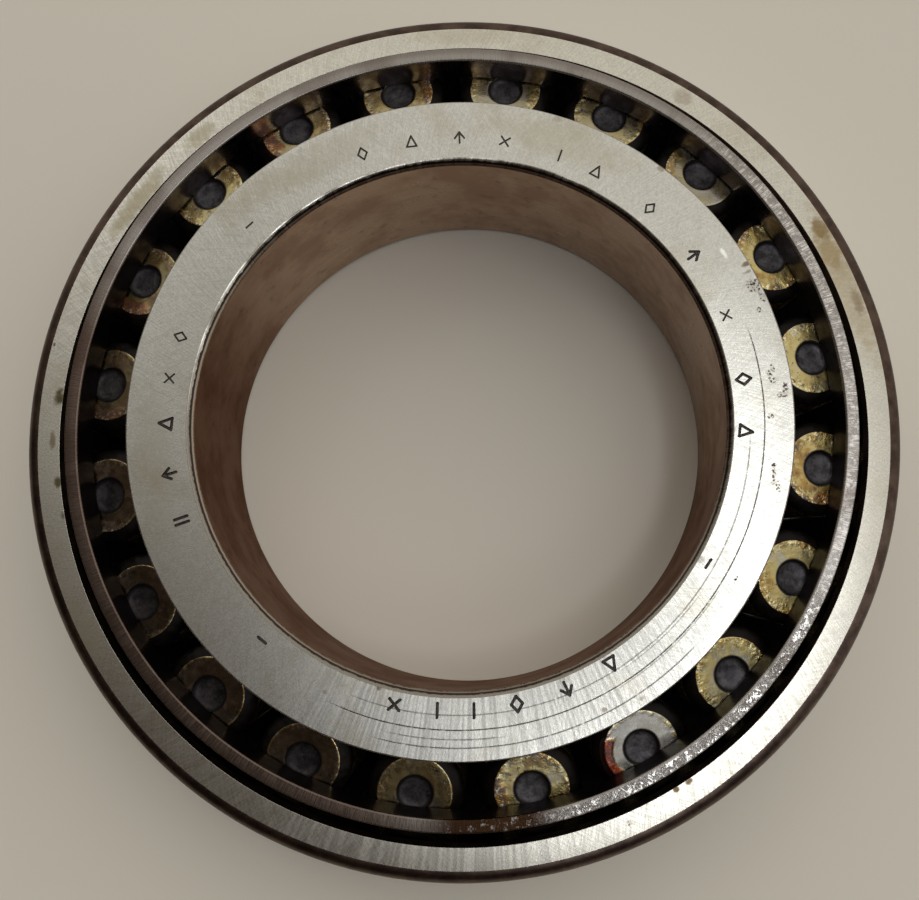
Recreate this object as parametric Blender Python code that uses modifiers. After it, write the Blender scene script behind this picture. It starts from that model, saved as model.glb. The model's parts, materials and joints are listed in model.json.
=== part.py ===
"""Tapered roller bearing: cup, cone, pressed cage and tapered rollers.

Metres, +Z up.  The origin is the centre of the cup's back face, on which the
bearing stands, and +Z is the bearing's axis towards the cone's back face.
Every rolling surface is a cone whose tip is the same point on the axis, so the
rollers roll without sliding.
"""

from math import asin, atan, cos, pi, radians, sin, tan

import bpy

# Boundary dimensions
BORE_RADIUS = 0.05715 / 2
OUTSIDE_RADIUS = 0.098425 / 2
BEARING_WIDTH = 0.022225
CONE_WIDTH = 0.021946
CUP_WIDTH = 0.0162

# Rollers
ROLLER_COUNT = 20
ROLLER_LARGE_RADIUS = 0.0052
ROLLER_LENGTH = 0.0146
ROLLER_AXIS_ANGLE = radians(12.5)
ROLLER_END_PITCH_RADIUS = 0.0398
ROLLER_END_DEPTH = 0.0049
FIRST_ROLLER_AZIMUTH = radians(90.0 - 6.77)
LARGE_END_CORNER = 0.0013
SMALL_END_CORNER = 0.0006
DIMPLE_RADIUS = 0.0019
DIMPLE_FLOOR_RADIUS = 0.0015
DIMPLE_DEPTH = 0.0006

# Clearances
RUNNING_CLEARANCE = 0.00005
POCKET_CLEARANCE = 0.0003

# Cup
CUP_FRONT_CORNER = 0.0015
CUP_BACK_CORNER = 0.0023
CUP_BORE_CHAMFER = 0.0005

# Cone
RIB_RADIUS = 0.0358
SMALL_RIB_RADIUS = 0.0329
BORE_CHAMFER = 0.0006
RIB_EDGE_CHAMFER = 0.00015
SMALL_RIB_GAP = 0.0004
SMALL_RIB_CHAMFER = 0.0006
UNDERCUT_DEPTH = 0.0004
UNDERCUT_WIDTH = 0.0008

# Cage
SHEET = 0.0014
CAGE_RADIUS_AT_LARGE_END = 0.0411
CAGE_RIM_DEPTH = 0.0020
CAGE_FLANGE_GAP = 0.0006
CAGE_FLANGE_RADIUS = 0.0339
CAGE_RIM_CORNER = 0.0004
CAGE_BEND_RADIUS = 0.0016

# Facets
RING_SIDES = 80
ROLLER_SIDES = 20
CORNER_STEPS = 3
SMALL_CORNER_STEPS = 2
MERGE_DISTANCE = 0.00001
SMOOTH_ANGLE = radians(35.0)

# Derived geometry: (radius, height) pairs lie in a half plane through the axis
LARGE_END_HEIGHT = BEARING_WIDTH - ROLLER_END_DEPTH
APEX_HEIGHT = LARGE_END_HEIGHT - ROLLER_END_PITCH_RADIUS / tan(ROLLER_AXIS_ANGLE)
APEX_TO_LARGE_END = ROLLER_END_PITCH_RADIUS / sin(ROLLER_AXIS_ANGLE)
HALF_TAPER = atan(ROLLER_LARGE_RADIUS / APEX_TO_LARGE_END)
CUP_ANGLE = ROLLER_AXIS_ANGLE + HALF_TAPER
CONE_ANGLE = ROLLER_AXIS_ANGLE - HALF_TAPER
CAGE_ANGLE = atan(CAGE_RADIUS_AT_LARGE_END / (LARGE_END_HEIGHT - APEX_HEIGHT))
SMALL_END_PITCH_RADIUS = ROLLER_END_PITCH_RADIUS - ROLLER_LENGTH * sin(ROLLER_AXIS_ANGLE)
SMALL_END_HEIGHT = LARGE_END_HEIGHT - ROLLER_LENGTH * cos(ROLLER_AXIS_ANGLE)
CONCAVE_SCALE = 1.0 / cos(pi / RING_SIDES)


def cone_radius(angle, height, offset=0.0):
    """Radius of a cone about the axis with its tip at the common apex."""
    return (height - APEX_HEIGHT) * tan(angle) + offset / cos(angle)


def end_plane_height(end_radius, end_height, radius, beyond):
    """Height of a roller's end plane at a radius, moved along the roller's axis."""
    slope = (end_radius - radius) * tan(ROLLER_AXIS_ANGLE)
    return end_height + slope + beyond / cos(ROLLER_AXIS_ANGLE)


def crossing(angle, offset, end_radius, end_height, beyond):
    """Point where a cone about the axis meets a moved roller end plane."""
    plane_at_axis = end_plane_height(end_radius, end_height, 0.0, beyond)
    rise = plane_at_axis - APEX_HEIGHT
    shift = offset / cos(angle)
    slopes = 1.0 + tan(angle) * tan(ROLLER_AXIS_ANGLE)
    radius = (rise * tan(angle) + shift) / slopes
    return radius, plane_at_axis - radius * tan(ROLLER_AXIS_ANGLE)


def arc(center, radius, start, end, steps=CORNER_STEPS):
    """Points along an arc, angles measured from the outward radius."""
    turns = [start + (end - start) * step / steps for step in range(steps + 1)]
    return [(center[0] + radius * cos(turn), center[1] + radius * sin(turn)) for turn in turns]


def widened(points):
    """Move points outward so that the flats of a hole keep its true radius."""
    return [(radius * CONCAVE_SCALE, height) for radius, height in points]


def turned_mesh(name, profile, sides, closed):
    """Turn a profile about Z; it runs down its outer side from top to bottom."""
    outline = bpy.data.meshes.new(name + "_outline")
    edges = [(index, index + 1) for index in range(len(profile) - 1)]
    if closed:
        edges.append((len(profile) - 1, 0))
    outline.from_pydata([(radius, 0.0, height) for radius, height in profile], edges, [])
    lathe = bpy.data.objects.new(name + "_lathe", outline)
    bpy.context.scene.collection.objects.link(lathe)
    screw = lathe.modifiers.new("Turn", "SCREW")
    screw.angle = 2.0 * pi
    screw.steps = sides
    screw.render_steps = sides
    screw.use_merge_vertices = True
    screw.merge_threshold = MERGE_DISTANCE
    depsgraph = bpy.context.evaluated_depsgraph_get()
    mesh = bpy.data.meshes.new_from_object(lathe.evaluated_get(depsgraph))
    mesh.name = name
    bpy.data.objects.remove(lathe)
    bpy.data.meshes.remove(outline)
    mesh.shade_smooth()
    mesh.set_sharp_from_angle(angle=SMOOTH_ANGLE)
    return mesh


def steel(name, color, roughness, metallic):
    """A steel with its own colour and finish."""
    material = bpy.data.materials.new(name)
    material.use_nodes = True
    shader = material.node_tree.nodes["Principled BSDF"]
    shader.inputs["Base Color"].default_value = (*color, 1.0)
    shader.inputs["Roughness"].default_value = roughness
    shader.inputs["Metallic"].default_value = metallic
    return material


def place(name, mesh, material, collection, parent):
    """Put a mesh in the model as a named part."""
    part = bpy.data.objects.new(name, mesh)
    if not mesh.materials:
        mesh.materials.append(material)
    collection.objects.link(part)
    part.parent = parent
    return part


def cup_profile():
    """Outer ring: conical raceway inside, plain outside, rounded outer corners."""
    front = arc(
        (OUTSIDE_RADIUS - CUP_FRONT_CORNER, CUP_WIDTH - CUP_FRONT_CORNER),
        CUP_FRONT_CORNER, pi / 2, 0.0)
    back = arc(
        (OUTSIDE_RADIUS - CUP_BACK_CORNER, CUP_BACK_CORNER),
        CUP_BACK_CORNER, 0.0, -pi / 2)
    back_land = cone_radius(CUP_ANGLE, CUP_BORE_CHAMFER, RUNNING_CLEARANCE)
    front_land = cone_radius(CUP_ANGLE, CUP_WIDTH - CUP_BORE_CHAMFER, RUNNING_CLEARANCE)
    raceway = widened([
        (back_land + CUP_BORE_CHAMFER, 0.0),
        (back_land, CUP_BORE_CHAMFER),
        (front_land, CUP_WIDTH - CUP_BORE_CHAMFER),
        (front_land + CUP_BORE_CHAMFER, CUP_WIDTH),
    ])
    return front + back + raceway


def cone_profile():
    """Inner ring: large rib, undercut, raceway, undercut, small rib and bore."""
    bottom = BEARING_WIDTH - CONE_WIDTH
    rib_under = end_plane_height(
        ROLLER_END_PITCH_RADIUS, LARGE_END_HEIGHT, RIB_RADIUS, RUNNING_CLEARANCE)
    rib_root = crossing(
        CONE_ANGLE, -RUNNING_CLEARANCE - UNDERCUT_DEPTH,
        ROLLER_END_PITCH_RADIUS, LARGE_END_HEIGHT, RUNNING_CLEARANCE)
    groove_foot = rib_root[1] - UNDERCUT_WIDTH
    race_top = groove_foot - UNDERCUT_DEPTH
    rib = [
        (RIB_RADIUS - RIB_EDGE_CHAMFER, BEARING_WIDTH),
        (RIB_RADIUS, BEARING_WIDTH - RIB_EDGE_CHAMFER),
        (RIB_RADIUS, rib_under),
        rib_root,
        (cone_radius(CONE_ANGLE, groove_foot, -RUNNING_CLEARANCE - UNDERCUT_DEPTH), groove_foot),
        (cone_radius(CONE_ANGLE, race_top, -RUNNING_CLEARANCE), race_top),
    ]
    small_rib_top = end_plane_height(
        SMALL_END_PITCH_RADIUS, SMALL_END_HEIGHT, SMALL_RIB_RADIUS, -SMALL_RIB_GAP)
    small_root = crossing(
        CONE_ANGLE, -RUNNING_CLEARANCE - UNDERCUT_DEPTH,
        SMALL_END_PITCH_RADIUS, SMALL_END_HEIGHT, -SMALL_RIB_GAP)
    groove_top = small_root[1] + UNDERCUT_WIDTH
    race_foot = groove_top + UNDERCUT_DEPTH
    small_rib = [
        (cone_radius(CONE_ANGLE, race_foot, -RUNNING_CLEARANCE), race_foot),
        (cone_radius(CONE_ANGLE, groove_top, -RUNNING_CLEARANCE - UNDERCUT_DEPTH), groove_top),
        small_root,
        (SMALL_RIB_RADIUS, small_rib_top),
        (SMALL_RIB_RADIUS, bottom + SMALL_RIB_CHAMFER),
        (SMALL_RIB_RADIUS - SMALL_RIB_CHAMFER, bottom),
    ]
    bore = widened([
        (BORE_RADIUS + BORE_CHAMFER, bottom),
        (BORE_RADIUS, bottom + BORE_CHAMFER),
        (BORE_RADIUS, BEARING_WIDTH - BORE_CHAMFER),
        (BORE_RADIUS + BORE_CHAMFER, BEARING_WIDTH),
    ])
    return rib + small_rib + bore


def cage_profile():
    """Pressed sheet: conical wall with a flange turned in under the rollers."""
    rim = BEARING_WIDTH - CAGE_RIM_DEPTH
    rim_inner = cone_radius(CAGE_ANGLE, rim)
    rim_outer = cone_radius(CAGE_ANGLE, rim, SHEET)
    rim_edge = arc(
        (rim_outer - CAGE_RIM_CORNER, rim - CAGE_RIM_CORNER),
        CAGE_RIM_CORNER, pi / 2, 0.0, SMALL_CORNER_STEPS)
    flange_top = -CAGE_FLANGE_GAP
    flange_under = flange_top - SHEET
    bend_center = crossing(
        CAGE_ANGLE, SHEET - CAGE_BEND_RADIUS,
        SMALL_END_PITCH_RADIUS, SMALL_END_HEIGHT, flange_under + CAGE_BEND_RADIUS)
    bend = arc(bend_center, CAGE_BEND_RADIUS, -CAGE_ANGLE, -pi / 2 - ROLLER_AXIS_ANGLE)
    under_edge = end_plane_height(
        SMALL_END_PITCH_RADIUS, SMALL_END_HEIGHT, CAGE_FLANGE_RADIUS, flange_under)
    top_edge = end_plane_height(
        SMALL_END_PITCH_RADIUS, SMALL_END_HEIGHT, CAGE_FLANGE_RADIUS, flange_top)
    fold = crossing(CAGE_ANGLE, 0.0, SMALL_END_PITCH_RADIUS, SMALL_END_HEIGHT, flange_top)
    inside = widened([(CAGE_FLANGE_RADIUS, under_edge), (CAGE_FLANGE_RADIUS, top_edge)])
    return rim_edge + bend + inside + [fold, (rim_inner, rim)]


def roller_radius(distance):
    """Radius of a roller at a distance below its large end, along its axis."""
    return ROLLER_LARGE_RADIUS - distance * tan(HALF_TAPER)


def roller_profile():
    """Tapered roller about its own axis, with its middle at height zero."""
    top = ROLLER_LENGTH / 2
    corner = arc(
        (ROLLER_LARGE_RADIUS - LARGE_END_CORNER, top - LARGE_END_CORNER),
        LARGE_END_CORNER, pi / 2, 0.0, SMALL_CORNER_STEPS)
    small = roller_radius(ROLLER_LENGTH - SMALL_END_CORNER)
    return [
        (0.0, top - DIMPLE_DEPTH),
        (DIMPLE_FLOOR_RADIUS, top - DIMPLE_DEPTH),
        (DIMPLE_RADIUS, top),
        corner[0],
        corner[1],
        (roller_radius(LARGE_END_CORNER), top - LARGE_END_CORNER),
        (small, SMALL_END_CORNER - top),
        (small - SMALL_END_CORNER, -top),
        (0.0, -top),
    ]


def pocket_profile():
    """Frustum a little larger than a roller, which cuts its pocket in the cage."""
    top = ROLLER_LENGTH / 2 + POCKET_CLEARANCE
    large = roller_radius(-POCKET_CLEARANCE) + POCKET_CLEARANCE
    small = roller_radius(ROLLER_LENGTH + POCKET_CLEARANCE) + POCKET_CLEARANCE
    return [(0.0, top), (large, top), (small, -top), (0.0, -top)]


def roller_azimuth(index):
    """Azimuth of a roller; they are numbered clockwise seen from above."""
    return FIRST_ROLLER_AZIMUTH - 2.0 * pi * index / ROLLER_COUNT


def set_on_roller_axis(item, index):
    """Move an object to the middle of a roller and tilt it to the roller's axis."""
    azimuth = roller_azimuth(index)
    radius = (ROLLER_END_PITCH_RADIUS + SMALL_END_PITCH_RADIUS) / 2
    height = (LARGE_END_HEIGHT + SMALL_END_HEIGHT) / 2
    item.location = (radius * cos(azimuth), radius * sin(azimuth), height)
    item.rotation_euler = (0.0, ROLLER_AXIS_ANGLE, azimuth)


def add_pockets(cage, cutters):
    """Cut one pocket in the cage for each roller."""
    mesh = turned_mesh("pocket_cutter", pocket_profile(), ROLLER_SIDES, closed=False)
    for index in range(ROLLER_COUNT):
        cutter = bpy.data.objects.new(f"pocket_cutter_{index + 1:02d}", mesh)
        cutters.objects.link(cutter)
        set_on_roller_axis(cutter, index)
        cutter.hide_render = True
        cutter.display_type = "WIRE"
    pockets = cage.modifiers.new("Pockets", "BOOLEAN")
    pockets.operation = "DIFFERENCE"
    pockets.solver = "EXACT"
    pockets.operand_type = "COLLECTION"
    pockets.collection = cutters


def add_rollers(collection, cage):
    """Set the rollers in the cage's pockets."""
    mesh = turned_mesh("roller", roller_profile(), ROLLER_SIDES, closed=False)
    material = steel("roller_steel", (0.46, 0.40, 0.25), 0.30, 1.0)
    for index in range(ROLLER_COUNT):
        roller = place(f"roller_{index + 1:02d}", mesh, material, collection, cage)
        set_on_roller_axis(roller, index)


def clear_scene():
    """Start from an empty scene."""
    for item in list(bpy.data.objects):
        bpy.data.objects.remove(item, do_unlink=True)


def build():
    """Build the bearing."""
    clear_scene()
    parts = bpy.data.collections.new("tapered_roller_bearing")
    cutters = bpy.data.collections.new("cutters")
    bpy.context.scene.collection.children.link(parts)
    bpy.context.scene.collection.children.link(cutters)
    axis = bpy.data.objects.new("bearing_axis", None)
    parts.objects.link(axis)

    cup_mesh = turned_mesh("cup", cup_profile(), RING_SIDES, closed=True)
    place("cup", cup_mesh, steel("cup_steel", (0.42, 0.41, 0.36), 0.38, 1.0), parts, axis)

    cone_mesh = turned_mesh("cone", cone_profile(), RING_SIDES, closed=True)
    place("cone", cone_mesh, steel("cone_steel", (0.45, 0.44, 0.39), 0.34, 1.0), parts, axis)

    cage_mesh = turned_mesh("cage", cage_profile(), RING_SIDES, closed=True)
    cage_steel = steel("cage_steel", (0.26, 0.22, 0.19), 0.45, 1.0)
    cage = place("cage", cage_mesh, cage_steel, parts, axis)
    add_pockets(cage, cutters)
    add_rollers(parts, cage)


build()
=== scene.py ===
import json
import math
import random

import bmesh
import bpy
from mathutils import Matrix, Vector, noise

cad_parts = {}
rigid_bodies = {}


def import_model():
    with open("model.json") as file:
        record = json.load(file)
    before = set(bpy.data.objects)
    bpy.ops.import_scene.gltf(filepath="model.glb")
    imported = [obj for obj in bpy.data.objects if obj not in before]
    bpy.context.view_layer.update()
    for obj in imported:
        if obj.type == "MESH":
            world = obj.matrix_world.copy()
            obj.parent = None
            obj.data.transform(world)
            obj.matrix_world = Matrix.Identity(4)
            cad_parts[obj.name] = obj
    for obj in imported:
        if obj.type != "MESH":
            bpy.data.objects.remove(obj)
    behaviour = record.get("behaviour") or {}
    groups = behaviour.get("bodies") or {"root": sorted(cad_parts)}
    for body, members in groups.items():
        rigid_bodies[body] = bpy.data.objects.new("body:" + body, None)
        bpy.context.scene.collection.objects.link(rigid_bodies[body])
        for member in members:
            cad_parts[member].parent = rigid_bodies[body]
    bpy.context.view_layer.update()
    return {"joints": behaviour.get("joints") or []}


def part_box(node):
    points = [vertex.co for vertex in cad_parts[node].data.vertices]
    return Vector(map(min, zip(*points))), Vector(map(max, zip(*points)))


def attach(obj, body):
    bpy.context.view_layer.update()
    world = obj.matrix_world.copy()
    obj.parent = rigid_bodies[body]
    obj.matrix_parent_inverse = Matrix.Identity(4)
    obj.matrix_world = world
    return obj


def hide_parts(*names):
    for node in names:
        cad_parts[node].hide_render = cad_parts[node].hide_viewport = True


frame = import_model()

MM = 0.001

# Driving places, read from the frame
CONE_LOW, CONE_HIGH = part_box("cone")
CUP_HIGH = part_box("cup")[1]
OUTSIDE_RADIUS = CUP_HIGH.x
CUP_FACE = CUP_HIGH.z
CONE_FACE = CONE_HIGH.z
CONE_FOOT = CONE_LOW.z
RIB_RADIUS = CONE_HIGH.x
CAGE_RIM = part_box("cage")[1].z
ROLLER_JOINTS = [joint for joint in frame["joints"] if joint["parent"] == "cage"]
ROLLER_AXIS = Vector(ROLLER_JOINTS[0]["axis"]).normalized()
ROLLER_MIDDLE = Vector(ROLLER_JOINTS[0]["pos_m"])
ROLLER_TILT = math.acos(ROLLER_AXIS.z)
MIDDLE_RADIUS = math.hypot(ROLLER_MIDDLE.x, ROLLER_MIDDLE.y)
APEX = ROLLER_MIDDLE.z - MIDDLE_RADIUS / math.tan(ROLLER_TILT)

# Rollers
ROLLER_RADIUS = 5.2 * MM
ROLLER_LENGTH = 14.6 * MM
END_CORNER = 1.3 * MM
SMALL_CORNER = 0.6 * MM
DIMPLE_RADIUS = 1.95 * MM
DIMPLE_FLOOR = 1.55 * MM
DIMPLE_DEPTH = 0.6 * MM
DIMPLE_RISE = 0.22
# Wall of the dimple: distance inside its radius, share of its depth, part
DIMPLE_WALL = ((0.18 * MM, 0.52, "dimple"), (0.05 * MM, 0.18, "dimple"), (0.0, 0.04, "end"))
# Recess in the small end: radius, depth, part
SMALL_RECESS = ((1.6 * MM, 0.0, "side"), (1.2 * MM, 0.25 * MM, "dimple"), (0.0, 0.3 * MM, "dimple"))
FLAT_RADIUS = ROLLER_RADIUS - END_CORNER
LIP = 0.25 * MM
LIP_TURN = math.radians(30.0)
APEX_TO_MIDDLE = MIDDLE_RADIUS / math.sin(ROLLER_TILT)
ROLLER_TAPER = math.atan(ROLLER_RADIUS / (APEX_TO_MIDDLE + ROLLER_LENGTH / 2))
CUP_ANGLE = ROLLER_TILT + ROLLER_TAPER
CONE_ANGLE = ROLLER_TILT - ROLLER_TAPER
LARGE_END = (
    MIDDLE_RADIUS + ROLLER_LENGTH / 2 * math.sin(ROLLER_TILT),
    ROLLER_MIDDLE.z + ROLLER_LENGTH / 2 * math.cos(ROLLER_TILT))
SMALL_END = (
    MIDDLE_RADIUS - ROLLER_LENGTH / 2 * math.sin(ROLLER_TILT),
    ROLLER_MIDDLE.z - ROLLER_LENGTH / 2 * math.cos(ROLLER_TILT))
RUNNING_GAP = 0.05 * MM
POCKET_GAP = 0.3 * MM

# Cage
SHEET = 1.4 * MM
CAGE_RADIUS_AT_LARGE_END = 41.1 * MM
CAGE_ANGLE = math.atan(CAGE_RADIUS_AT_LARGE_END / (LARGE_END[1] - APEX))
FLANGE_GAP = 0.6 * MM
FLANGE_RADIUS = 33.9 * MM
FLANGE_BEND = 1.6 * MM

# Rings
BORE_RADIUS = 28.575 * MM
SMALL_RIB_RADIUS = 32.9 * MM
BORE_CHAMFER = 0.6 * MM
LAND = 0.5 * MM
UNDERCUT = 0.4 * MM
GROOVE = 0.8 * MM
SMALL_RIB_PLAY = 0.4 * MM
CUP_FRONT_CORNER = 1.5 * MM
CUP_BACK_CORNER = 2.3 * MM

# Small radii that break edges
FINE_EDGE = 0.06 * MM
BROKEN_EDGE = 0.15 * MM
ROOT_EDGE = 0.2 * MM

# Fineness
RING_SIDES = 512
CAGE_SIDES = 360
ROLLER_SIDES = 96
POCKET_SIDES = 96
STROKE_SIDES = 12
END_STEPS = 14
CORNER_STEPS = 8
SIDE_STEPS = 6
SMALL_CORNER_STEPS = 6
ARC_STEP = math.radians(12.0)
SMOOTH_ANGLE = math.radians(32.0)


# ---------------------------------------------------------------- outlines

def on_cone(angle, height, offset=0.0):
    """Radius of a cone about the bearing's axis whose tip is the rollers' apex."""
    return (height - APEX) * math.tan(angle) + offset / math.cos(angle)


def compass(azimuth):
    """Outward and clockwise directions; azimuth in degrees clockwise from +Y, seen from above."""
    turn = math.radians(azimuth)
    return (
        Vector((math.sin(turn), math.cos(turn), 0.0)), Vector((math.cos(turn), -math.sin(turn), 0.0)))


def on_end_plane(end, radius, beyond):
    """Height of a roller's end plane at a radius, moved along the roller's axis."""
    return end[1] + (end[0] - radius) * math.tan(ROLLER_TILT) + beyond / math.cos(ROLLER_TILT)


def where_cone_meets_end(angle, offset, end, beyond):
    """Radius and height where such a cone meets a moved end plane."""
    at_axis = on_end_plane(end, 0.0, beyond)
    reach = (at_axis - APEX) * math.tan(angle) + offset / math.cos(angle)
    radius = reach / (1.0 + math.tan(angle) * math.tan(ROLLER_TILT))
    return radius, at_axis - radius * math.tan(ROLLER_TILT)


def fillet(before, corner, after, radius):
    """Points of the arc that rounds one corner of an outline."""
    back = (before - corner).normalized()
    ahead = (after - corner).normalized()
    half = back.angle(ahead) / 2
    center = corner + (back + ahead).normalized() * radius / math.sin(half)
    start = corner + back * radius / math.tan(half) - center
    end = corner + ahead * radius / math.tan(half) - center
    turn = start.angle(end)
    steps = max(2, math.ceil(turn / ARC_STEP))
    points = []
    for step in range(steps + 1):
        share = step / steps
        blend = start * math.sin((1 - share) * turn) + end * math.sin(share * turn)
        points.append(center + blend / math.sin(turn))
    return points


def rounded_outline(corners):
    """Outline points, and the surface of the edge after each of them.

    A corner is (radius, height, fillet, surface of the fillet, surface after it).
    """
    places = [Vector((corner[0], corner[1])) for corner in corners]
    points = []
    surfaces = []
    for index, corner in enumerate(corners):
        before = places[index - 1]
        after = places[(index + 1) % len(places)]
        arc = fillet(before, places[index], after, corner[2]) if corner[2] else [places[index]]
        points.extend(arc)
        surfaces.extend([corner[3]] * (len(arc) - 1) + [corner[4]])
    return points, surfaces


# ---------------------------------------------------------------- meshes

def shade_mesh(mesh):
    """Smooth shading with sharp machined edges."""
    mesh.shade_smooth()
    mesh.set_sharp_from_angle(angle=SMOOTH_ANGLE)


def finish_mesh(mesh, materials):
    """Give a mesh its materials and its shading."""
    for material in materials:
        mesh.materials.append(material)
    shade_mesh(mesh)


def turned(name, corners, sides, materials):
    """Object turned from a closed outline about the bearing's axis."""
    points, surfaces = rounded_outline(corners)
    count = len(points)
    vertices = []
    for side in range(sides):
        turn = 2 * math.pi * side / sides
        vertices.extend((p.x * math.cos(turn), p.x * math.sin(turn), p.y) for p in points)
    faces = []
    face_surfaces = []
    for side in range(sides):
        here = side * count
        there = (side + 1) % sides * count
        for index in range(count):
            below = (index + 1) % count
            faces.append((here + index, here + below, there + below, there + index))
            face_surfaces.append(surfaces[index])
    mesh = bpy.data.meshes.new(name)
    mesh.from_pydata(vertices, [], faces)
    mesh.polygons.foreach_set("material_index", face_surfaces)
    finish_mesh(mesh, materials)
    return add_object(name, mesh)


def add_object(name, data):
    """Object in the scene with this mesh, lamp or camera."""
    item = bpy.data.objects.new(name, data)
    bpy.context.scene.collection.objects.link(item)
    return item


def add_cutter(name, solid, material):
    """Object made from an edit mesh, to be cut away from another."""
    mesh = bpy.data.meshes.new(name)
    solid.to_mesh(mesh)
    solid.free()
    mesh.materials.append(material)
    return add_object(name, mesh)


def cut(item, cutters):
    """Cut an object with several others, apply it, and remove the cutters."""
    group = bpy.data.collections.new(item.name + "_cutters")
    bpy.context.scene.collection.children.link(group)
    for cutter in cutters:
        bpy.context.scene.collection.objects.unlink(cutter)
        group.objects.link(cutter)
    boolean = item.modifiers.new("Cut", "BOOLEAN")
    boolean.operation = "DIFFERENCE"
    boolean.solver = "EXACT"
    boolean.operand_type = "COLLECTION"
    boolean.collection = group
    boolean.material_mode = "TRANSFER"
    depsgraph = bpy.context.evaluated_depsgraph_get()
    mesh = bpy.data.meshes.new_from_object(item.evaluated_get(depsgraph))
    item.modifiers.clear()
    item.data = mesh
    shade_mesh(mesh)
    for cutter in list(group.objects):
        bpy.data.objects.remove(cutter)
    bpy.data.collections.remove(group)


def weight_normals(item):
    """Keep flat faces flat up to their rounded edges."""
    weighted = item.modifiers.new("Weighted normals", "WEIGHTED_NORMAL")
    weighted.keep_sharp = True


def roller_axes(joint):
    """Matrix that carries a roller's own frame, +Z to its large end, to its place."""
    place = Vector(joint["pos_m"])
    turn = math.atan2(place.y, place.x)
    return (
        Matrix.Translation(place)
        @ Matrix.Rotation(turn, 4, "Z")
        @ Matrix.Rotation(ROLLER_TILT, 4, "Y"))


# ---------------------------------------------------------------- material kit

# Color sockets of a mix node, which shares its names between data types
MIX_FIRST, MIX_SECOND, MIX_RESULT = 6, 7, 2


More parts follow.
